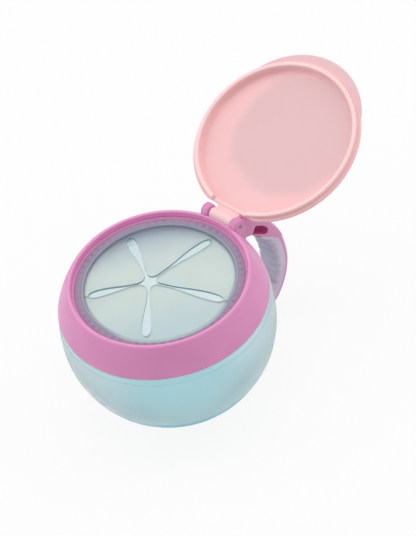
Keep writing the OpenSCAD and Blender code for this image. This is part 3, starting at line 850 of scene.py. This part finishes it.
def slot_axes():
    """The strap slot's centre, and its directions along and across, in the
    plane of (y, z)."""
    c, s = math.cos(SLOT_SLOPE), math.sin(SLOT_SLOPE)
    centre = UPPER + (UPPER_R - HANDLE_T / 2 - 1) * np.array([c, s])
    return centre, np.array([c, -s]), np.array([-s, -c])


def handle_line(start, end, count):
    """The handle's outer edge, from an angle above its widest point to one
    below it, in degrees. Gives the distances along it, the points, the
    directions out of the bend and the arcs' radii."""
    d = np.linspace(-UPPER_R * math.radians(start), LOWER_R * math.radians(end), count)
    above = d < 0
    r = np.where(above, UPPER_R, LOWER_R)
    out = unit(-d / r)
    return d, np.where(above[:, None], UPPER, LOWER) + r[:, None] * out, out, r


def box_section(outer, inner, half_w, round_outer, round_inner):
    """A rounded box round (depth, x): from the outer face's depth to the
    inner one's, with its own rounding at either face."""
    curve = np.array(edge_curve(6))
    low = np.array([outer, half_w]) + round_outer * curve * (1, -1)
    high = np.array([inner, half_w]) - round_inner * curve
    half = np.vstack([low[::-1], high])
    return np.vstack([half, half[::-1] * (1, -1)])


def section_at(point, out, box):
    """A box section's ring of points, set on the handle's edge at a point."""
    return across(point - box[:, :1] * out, box[:, 1])


class SNACK_OT_handle(bpy.types.Operator):
    """Builds the handle's hard frame: the root with its strap slot, the spine
    and the rounded end"""

    bl_idname = "snack.handle"
    bl_label = "Handle frame"

    def execute(self, context):
        s = context.scene.snack_collar
        web = rounded([(45.5, 60.9, 0.3), (49.2, 60.9, 0.6), (56.3, 56.9, 1.0), (58.5, 60.5, 1.0),
                       (51.0, 70.0, 1.0), (45.5, 70.0, 0.3)], True)
        parts = [self.root(), self.spine(), plate(spread(web, 96), 5.7, 1.2)]
        add_mesh("handle_frame", parts, [collar_plastic(s)], "collar")
        return {"FINISHED"}

    @staticmethod
    def root():
        """A plate with the strap slot as its hole: square at the near end and
        half a slanted ellipse at the far end. The plate's lower side is the
        line where the grip begins; its edge is sharp there and round
        elsewhere."""
        centre, along, down = slot_axes()
        slant = np.array([[1.508, -0.176], [-0.943, -1.123]])
        far_end = circle((0, 0), 1.935, 81, -99, 40) @ slant + (2.56, 0)
        near_end = rounded([(0, SLOT_H, 0), (-SLOT_L, SLOT_H, 0.5), (-SLOT_L, -SLOT_H, 0.5),
                            (0, -SLOT_H, 0)])
        slot = centre + np.vstack([far_end, near_end]) @ np.array([along, down])
        line = centre + GRIP_START * down
        arc = circle(UPPER, UPPER_R, 64, 15, 80)
        spine_end = circle(UPPER, UPPER_R - SPINE_T, 15, 15, 1)[0]
        bend = rounded([(*spine_end, 0), (*(line + 15.4 * along), 2.4),
                        (*(line - 0.9 * along), 0)])
        low = circle(UPPER, UPPER_R - HANDLE_T, 41.5, 50, 12)
        outline = np.vstack([arc, bend, low, [(48.0, 60.6), (46.0, 62.0), (46.0, 70.5)]])
        hole = round_star(slot, centre, 240, 0.1)
        outer = round_star(outline, centre, 240, 0.25)
        depth = UPPER_R - np.linalg.norm(outer - UPPER, axis=1)
        on_line = ((outer - line) @ down > -0.25) & (depth > 1) & (depth < HANDLE_T - 0.3)
        edge = np.where(on_line, 0.05, 2.6)
        kernel = np.hanning(9) / np.hanning(9).sum()
        edge = np.convolve(np.concatenate([edge[-4:], edge, edge[:4]]), kernel, "valid")
        edge = np.minimum(edge, np.linalg.norm(outer - hole, axis=1) * 0.8)
        return eyed_plate(hole, outer, -HANDLE_W / 2, HANDLE_W / 2, edge, 0.3)

    @staticmethod
    def spine():
        """The rounded box section carried down the two arcs, thin behind the
        grip and full at the end, which it closes as a half round."""
        d, outer, out, _ = handle_line(44, 60, 110)
        grow = np.clip((d - LOWER_R * math.radians(52.5)) / 1.2, 0, 1)
        thick = SPINE_T + (HANDLE_T - SPINE_T) * grow ** 2 * (3 - 2 * grow)
        rings = []
        for p, o, t in zip(outer, out, thick):
            inner_round = CORNER_R if t > 8 else 0.15
            box = box_section(0.02, t, HANDLE_W / 2 - 0.02, min(CORNER_R, t * 0.8), inner_round)
            rings.append(section_at(p, o, box))
        p, o = outer[-1], out[-1]
        ahead = np.array([o[1], -o[0]])
        middle = p - o * HANDLE_T / 2
        for a in np.linspace(0, np.pi / 2, 9)[1:]:
            h = HANDLE_T / 2 * math.cos(a)
            w = max(HANDLE_W / 2 - CORNER_R * (1 - math.cos(a)), 0.01)
            box = box_section(-h, h, w, min(CORNER_R, h), min(CORNER_R, h))
            rings.append(section_at(middle + ahead * HANDLE_T / 2 * math.sin(a), o, box))
        return capped(rings)


class SNACK_OT_grip(bpy.types.Operator):
    """Builds the soft ribbed grip inside the handle's bend"""

    bl_idname = "snack.grip"
    bl_label = "Grip"

    def execute(self, context):
        s = context.scene.snack_collar
        centre, _, down = slot_axes()
        line = centre + GRIP_START * down
        pitch, groove_depth, first, last = 5.7, 0.9, -21.5, 20.5
        d, outer, out, r = handle_line(41, 54.2, 420)
        run = d * (r - HANDLE_T / 2) / r
        groove = np.cos(np.pi * np.mod((run + 0.3 * pitch) / pitch, 1.0)) ** 6
        groove *= np.clip((run - first) / 1.5, 0, 1) * np.clip((last - run) / 1.5, 0, 1)
        inner = HANDLE_T - groove_depth * groove - 0.02
        rings = []
        for p, o, t in zip(outer, out, inner):
            below, slope = (p - line) @ down, o @ down
            top = max(below / slope, SPINE_T) if slope < -1e-6 else SPINE_T
            top = min(top, t - 0.02)
            box = box_section(top, t, HANDLE_W / 2 - 0.01, 0.02,
                              CORNER_R * min(1.0, (t - top) / 4.0) + 0.01)
            rings.append(section_at(p, o, box))
        add_mesh("grip_pad", [capped(rings)], [grip_finish(s)], "collar",
                 ["handle_grip"])
        return {"FINISHED"}


ROUND_N, CORNER_N, CHORD_N = 200, 14, 27  # points of the lid's arc, each corner and its edge


def lid_outline(radius, chord, corner):
    """The lid's outline: a circle cut by a straight edge at y = chord, the
    two corners rounded. A circle that doesn't reach the edge stays whole.
    Every call gives as many points, in the same order."""
    chord = min(chord, radius)
    x = math.sqrt(max((radius - corner) ** 2 - (chord - corner) ** 2, 0))
    touch = math.atan2(chord - corner, x)
    a = np.linspace(math.pi - touch, 2 * math.pi + touch, ROUND_N)
    body = radius * unit(a)
    right = circle((x, chord - corner), corner, math.degrees(touch), 90, CORNER_N + 1)[1:]
    c = np.linspace(x, -x, CHORD_N + 2)[1:-1]
    line = np.stack([c, np.full_like(c, chord)], -1)
    return np.vstack([body, right, line, right[::-1] * (-1, 1)])


def opened(points):
    """Points of the closed lid (x, y, z), turned open about the hinge."""
    c, s = math.cos(OPEN_ANGLE), math.sin(OPEN_ANGLE)
    turn = np.array([[c, -s], [s, c]])
    return np.column_stack([points[:, 0], HINGE + (points[:, 1:] - HINGE) @ turn])


class SNACK_OT_lid(bpy.types.Operator):
    """Builds the lid: dish, plug ring, flange, thumb tab, strap and knuckle"""

    bl_idname = "snack.lid"
    bl_label = "Lid"

    def execute(self, context):
        s = context.scene.snack_lid
        parts = [self.cap(s), self.tab(s)] + self.strap()
        parts = [(opened(v), q, tag) for v, q, tag in parts]
        add_mesh("lid_shell", parts, [lid_finish(s, False), lid_finish(s, True)], "lid",
                 ["lid"])
        return {"FINISHED"}

    @staticmethod
    def cap(s):
        """The lid's section (radius, height) carried round its outline, and
        drawn together to a point in the middle of both faces. The plug ring
        ends where the straight edge begins. The outside is in the second
        material, which has the printed panel."""
        r = s.radius
        dish, plug, plug_cut, lip, top = 77.3, 72.9, 75.0, 75.2, 79.0  # heights
        dish_r, top_r, flange = 37.2, r - 5.0, 1.3  # radii and the flange's width
        chord = 38.8  # distance of the straight edge
        bevel_z, bevel = 77.6, 0.35  # above this height the edge is drawn in, by this slope
        section = rounded([(dish_r, dish, 0), (r - 3.4, dish, 0.9), (r - 3.4, plug, 0.6),
                           (r - flange, plug, 0.6), (r - flange, lip, 0.25), (r, lip, 0.35),
                           (r, 77.0, 0.5), (r - 1.2, 77.0, 0.6), (r - 2.4, 78.0, 0.8),
                           (r - 2.9, 78.9, 1.0), (top_r, top, 0)], steps=5)
        ramp = 0.5 - 0.5 * np.cos(np.linspace(0, np.pi, CORNER_N))
        straight = np.concatenate([np.zeros(ROUND_N), ramp, np.ones(CHORD_N), ramp[::-1]])
        middle = np.array([0.0, -1.0])
        rings = []

        def face(plan, low, rise, shares):
            """Rings of a shallow dome between a plan's outline and the middle."""
            for q in shares:
                z = np.full(len(plan), low + rise * (1 - q * q))
                rings.append(np.column_stack([middle + (plan - middle) * q, z]))

        face(lid_outline(dish_r, chord - 2.9, 2.6), dish, 1.5, np.linspace(0, 1, 20)[:-1])
        for radius, z in section:
            inset = r - radius
            on_plug = z < dish + 0.05 and inset > flange + 0.01
            drawn_in = inset - flange if on_plug else bevel * max(0.0, z - bevel_z)
            plan = lid_outline(radius, chord - drawn_in, max(3.6 - inset * 0.35, 2.0))
            lift = plug_cut + 0.1 * (z - plug) - z if z < lip else 0
            rings.append(np.column_stack([plan, z + straight * lift]))
        face_start = len(rings)
        outline = lid_outline(top_r, chord - bevel * (top - bevel_z), 2.4)
        face(outline, top, 1.4, np.linspace(1, 0, 22)[1:])
        v, q, _ = surface(rings)
        printed = np.arange(len(rings) - 1) >= face_start
        return v, q, np.repeat(printed, len(rings[0]))

    @staticmethod
    def tab(s):
        """A crescent beyond the flange: its edge is a circle nearer to the
        front than the lid's own, and its section is a thin rounded box."""
        shift = 10.0  # of the edge circle's centre towards the front
        inner, half, z = 38.9, 0.8, 76.1  # root's radius, half thickness and middle height
        a = np.radians(np.linspace(-66, 66, 121))
        reach = shift * np.cos(a) + np.sqrt((s.tab - shift) ** 2 - (shift * np.sin(a)) ** 2)
        reach = np.maximum(reach, inner + 0.5)
        section = [(inner, z - half), (inner, z + half)]
        for x, y in circle((0, 0), 1, 90, -90, 11):
            section.append((reach + 0.9 * half * (x - 1), z + half * y))
        rows = [np.stack([r * np.sin(a), -r * np.cos(a), np.full_like(a, h)], -1)
                for r, h in section]
        return capped(np.array(rows).transpose(1, 0, 2))

    @staticmethod
    def strap():
        """The strap, a thin rounded plate, and the knuckle it ends in."""
        knuckle, half = 2.7, 6.45  # the knuckle's radius and half of the width
        y, top = HINGE[0], HINGE[1] + knuckle
        root, low = 37.4, top - 2.2
        bar = rounded([(root, low, 0.3), (y, low, 0.3), (y + 0.6, top, 0.6), (root, top, 0.3)], True)
        eye = eyed_plate(circle(HINGE, 1.06), circle(HINGE, knuckle), -half, half, 0.4, 0.15)
        return [plate(spread(bar, 72), half, 0.4), eye]


# ---- stage ------------------------


class SNACK_OT_stage(bpy.types.Operator):
    """Sets the camera, the lights and the pale floor"""

    bl_idname = "snack.stage"
    bl_label = "Stage"

    def execute(self, context):
        s = context.scene.snack_stage
        scene = context.scene
        scene.view_settings.view_transform = "Standard"
        self.camera(scene, s)
        self.floor()
        self.lights(s)
        self.room(scene, s)
        return {"FINISHED"}

    @staticmethod
    def camera(scene, s):
        """The camera at its set place and turn."""
        data = bpy.data.cameras.new("camera")
        data.sensor_width = 36.0
        data.lens = s.lens
        data.clip_start, data.clip_end = 0.01, 20.0
        camera = placed("camera", data)
        camera.location = Vector((484.384, -377.027, 708.322)) * MM
        camera.rotation_euler = np.radians((43.4231, 8.1046, 41.5208))
        scene.camera = camera

    @staticmethod
    def floor():
        """A wide flat floor whose colour reads as white to the camera."""
        mesh = bpy.data.meshes.new("floor")
        mesh.from_pydata([(-3, -3, 0), (3, -3, 0), (3, 3, 0), (-3, 3, 0)], [], [(0, 1, 2, 3)])
        floor = placed("floor", mesh)
        floor.location.z = -0.2 * MM
        material = bpy.data.materials.new("white_floor")
        material.use_nodes = True
        nodes = Nodes(material.node_tree)
        nodes.tree.nodes.clear()
        ray = nodes.add("LightPath").outputs
        share = nodes.calc("MAXIMUM", ray["Is Camera Ray"], ray["Is Glossy Ray"])
        share = nodes.calc("MAXIMUM", nodes.product(share, 0.88), ray["Is Transmission Ray"])
        matte = nodes.add("BsdfDiffuse", {"Color": (0.86, 0.86, 0.86)})
        glow = nodes.add("Emission", {"Strength": 1})
        nodes.mixed("OutputMaterial", share, matte, glow)
        mesh.materials.append(material)

    @staticmethod
    def lights(s):
        """Large soft lights at both sides and above."""
        for name, place, size in (("left", (-0.9, -0.5, 0.9), 1.2), ("right", (0.6, 0.9, 1.0), 1.2),
                                  ("top", (-0.1, 0.2, 1.5), 1.4)):
            data = bpy.data.lights.new(name, "AREA")
            data.shape = "DISK"
            data.size = size
            data.energy = s.key
            lamp = placed(name, data)
            lamp.location = place
            lamp.rotation_mode = "QUATERNION"
            aim = Vector((0, 0, 0.05)) - Vector(place)
            lamp.rotation_quaternion = aim.to_track_quat("-Z", "Y")

    @staticmethod
    def room(scene, s):
        """Even light from all round, dimmer from the camera's side. The
        camera sees white."""
        world = bpy.data.worlds.new("room")
        world.use_nodes = True
        nodes = Nodes(world.node_tree)
        nodes.tree.nodes.clear()
        way = nodes.add("TexCoord").outputs["Generated"]
        dim = nodes.between(nodes.along(FRONT, way), 0.55, 0.85, s.room, s.room * (1 - s.dark))
        white = (1, 1, 1)
        lit = nodes.add("Background", {"Color": white, "Strength": dim})
        plain = nodes.add("Background", {"Color": white, "Strength": 1})
        ray = nodes.add("LightPath").outputs
        seen = nodes.calc("MAXIMUM", ray["Is Camera Ray"], ray["Is Transmission Ray"])
        nodes.mixed("OutputWorld", seen, lit, plain)
        scene.world = world


# ---- panel ------------------------


class SNACK_PT_panel(bpy.types.Panel):
    """Lists the container's pieces and the stage"""

    bl_label = "Snack Container"
    bl_idname = "SNACK_PT_panel"
    bl_space_type = "VIEW_3D"
    bl_region_type = "UI"
    bl_category = "Snack Container"

    def draw(self, context):
        layout = self.layout
        for operator in OPERATORS:
            layout.operator(operator.bl_idname)
        for group in GROUPS:
            settings = getattr(context.scene, group)
            box = layout.box()
            for name in settings.__annotations__:
                box.prop(settings, name)


OPERATORS = (SNACK_OT_bowl, SNACK_OT_flap, SNACK_OT_collar, SNACK_OT_hinge, SNACK_OT_handle,
             SNACK_OT_grip, SNACK_OT_lid, SNACK_OT_stage)
GROUPS = {
    "snack_bowl": BowlSettings,
    "snack_flap": FlapSettings,
    "snack_collar": CollarSettings,
    "snack_lid": LidSettings,
    "snack_stage": StageSettings,
}
CLASSES = (*GROUPS.values(), *OPERATORS, SNACK_PT_panel)


def register():
    """Registers the classes and puts the settings on the scene."""
    for c in CLASSES:
        bpy.utils.register_class(c)
    for name, group in GROUPS.items():
        setattr(bpy.types.Scene, name, PointerProperty(type=group))


def unregister():
    """Takes the settings and the classes away again."""
    for name in GROUPS:
        delattr(bpy.types.Scene, name)
    for c in reversed(CLASSES):
        bpy.utils.unregister_class(c)


def main():
    """Builds every piece and the stage."""
    register()
    bpy.ops.snack.bowl()
    bpy.ops.snack.flap()
    bpy.ops.snack.collar()
    bpy.ops.snack.hinge()
    bpy.ops.snack.handle()
    bpy.ops.snack.grip()
    bpy.ops.snack.lid()
    bpy.ops.snack.stage()
    bpy.context.view_layer.update()


if __name__ == "__main__":
    main()
